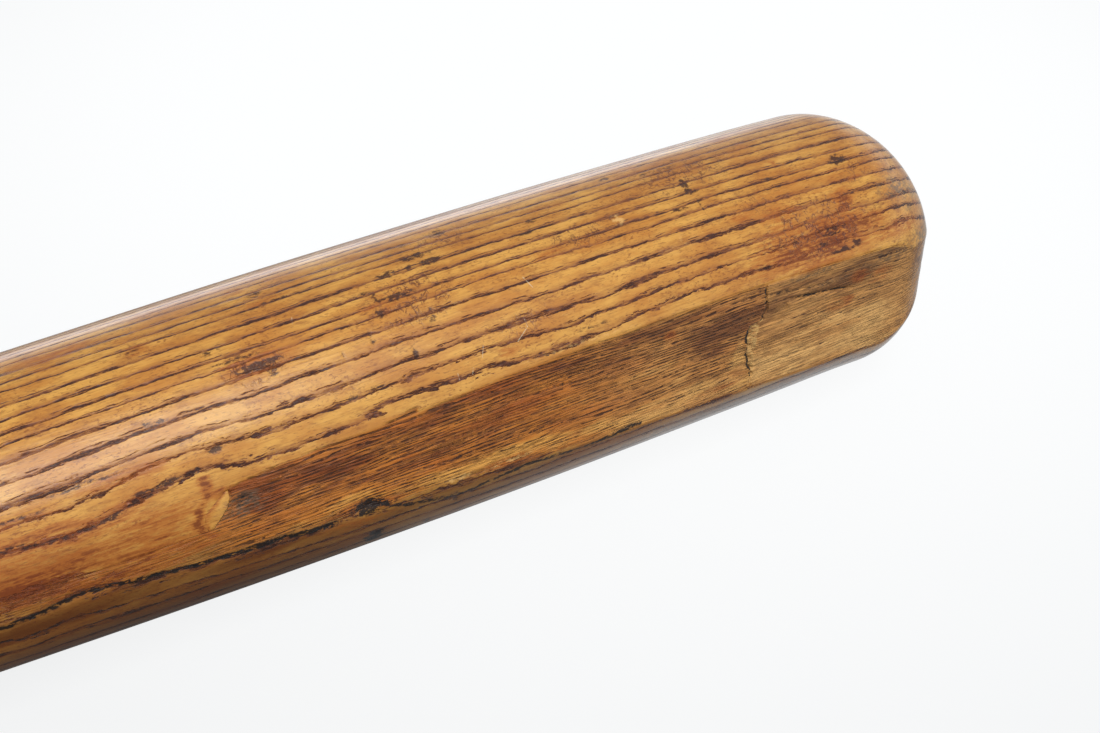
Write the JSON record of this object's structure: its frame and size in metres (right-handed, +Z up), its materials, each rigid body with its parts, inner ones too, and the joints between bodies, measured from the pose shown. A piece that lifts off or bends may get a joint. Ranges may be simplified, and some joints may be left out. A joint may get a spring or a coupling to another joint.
{
  "type": "baseball bat",
  "caption": "Full-size turned ash baseball bat with a worn flat and a lifted end flake on the barrel, and a cloth-taped grip.",
  "frame": {"origin": "centre of the knob's flat end face, on the bat's axis", "axes": "+X along the axis from the knob to the tip of the barrel, +Z up; the worn flat faces -Y and a little up"},
  "size_m": [0.864, 0.0633, 0.0642],
  "materials": {
    "oiled_ash": "satin",
    "torn_ash": "matte",
    "pale_ash": "matte",
    "friction_tape": "matte"
  },
  "bodies": {
    "root": {"ash_body": "oiled_ash", "end_flake": "torn_ash", "root_chip": "pale_ash", "spiral_tape": "friction_tape", "knob_band": "friction_tape", "top_band": "friction_tape"}
  },
  "joints": []
}
